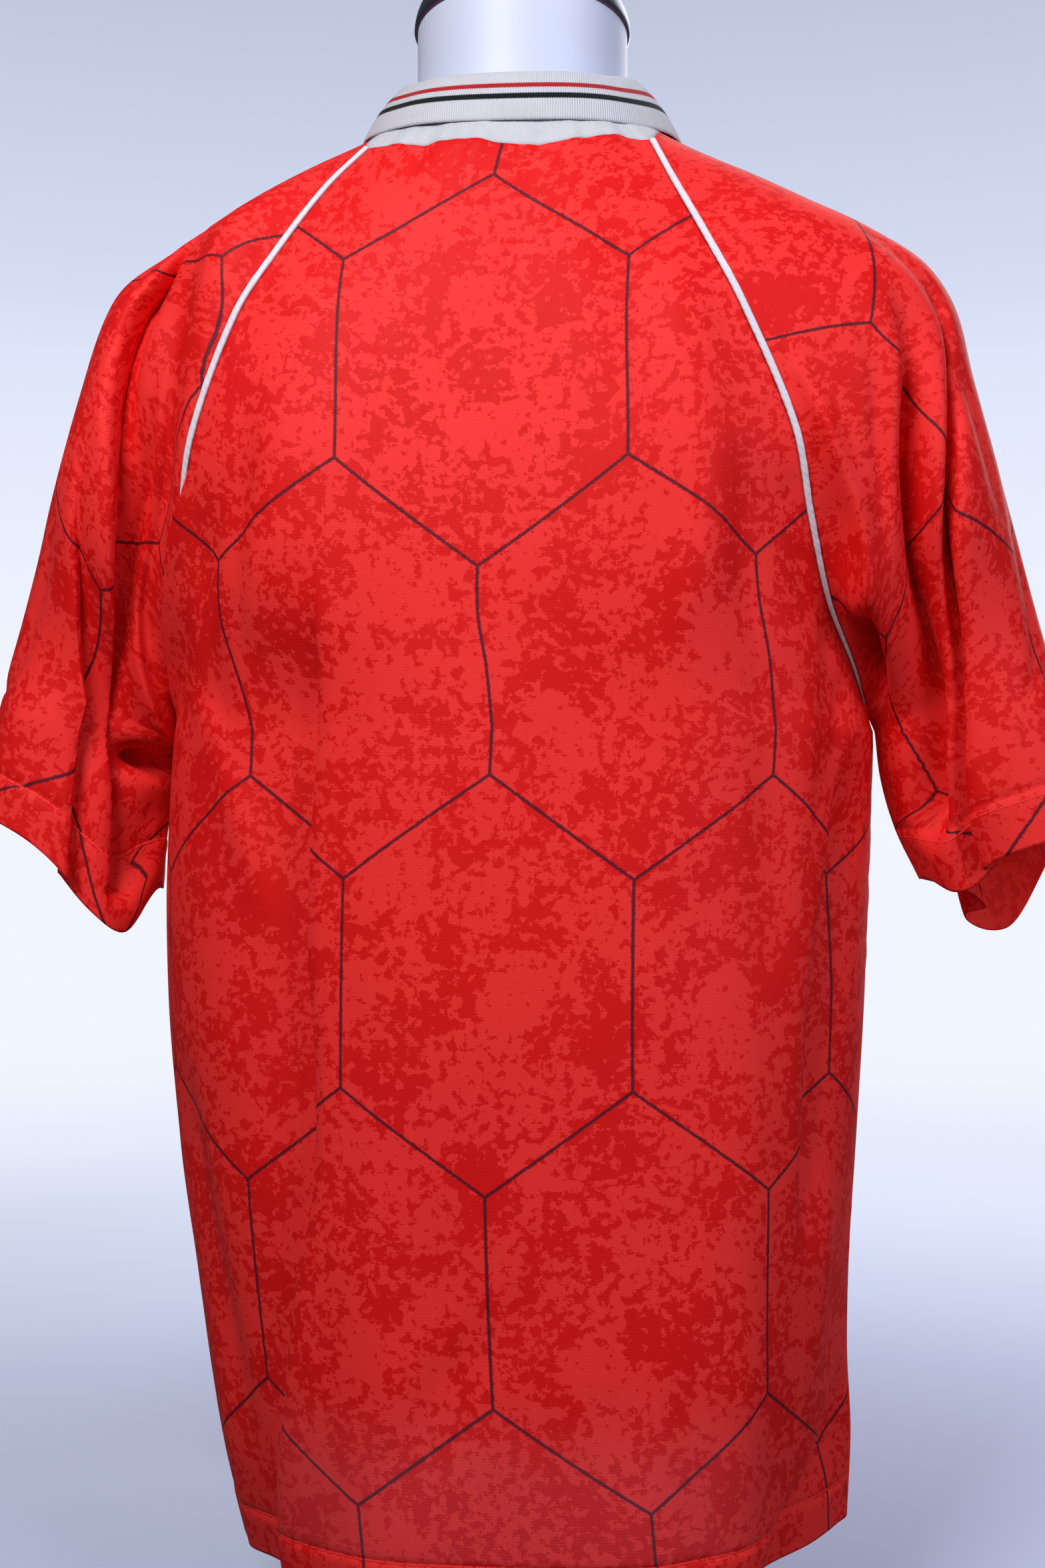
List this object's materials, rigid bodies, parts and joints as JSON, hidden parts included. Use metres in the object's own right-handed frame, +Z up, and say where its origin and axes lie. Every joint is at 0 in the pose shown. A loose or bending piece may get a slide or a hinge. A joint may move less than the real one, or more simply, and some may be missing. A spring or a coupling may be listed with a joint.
{
  "type": "football jersey on a limbless display torso",
  "caption": "Short-sleeved raglan football jersey with knitted collar, hanging on a smooth limbless display torso with a flat foot and metal neck cap.",
  "frame": {"origin": "middle of the display torso's flat foot, on the surface that it stands on", "axes": "+X to the wearer's left, -Y to the wearer's front, +Z up"},
  "size_m": [0.6583, 0.299, 0.9742],
  "materials": {
    "red_cloth": "fine polyester knit with a soft sheen, printed in mottled reds with thin dark lines",
    "white_piping": "matt off-white cotton piping",
    "white_knit": "matt off-white flat knit with two thin stripes on the collar",
    "torso_white": "smooth white, softly shining",
    "chrome": "polished metal"
  },
  "bodies": {
    "root": {"back_panel": "red_cloth", "front_panel": "red_cloth", "sleeve_left": "red_cloth", "sleeve_right": "red_cloth", "piping_back_left": "white_piping", "piping_back_right": "white_piping", "piping_front_left": "white_piping", "piping_front_right": "white_piping", "neckband": "white_knit", "collar": "white_knit", "display_torso": "torso_white", "neck_cap": "chrome"}
  },
  "joints": []
}
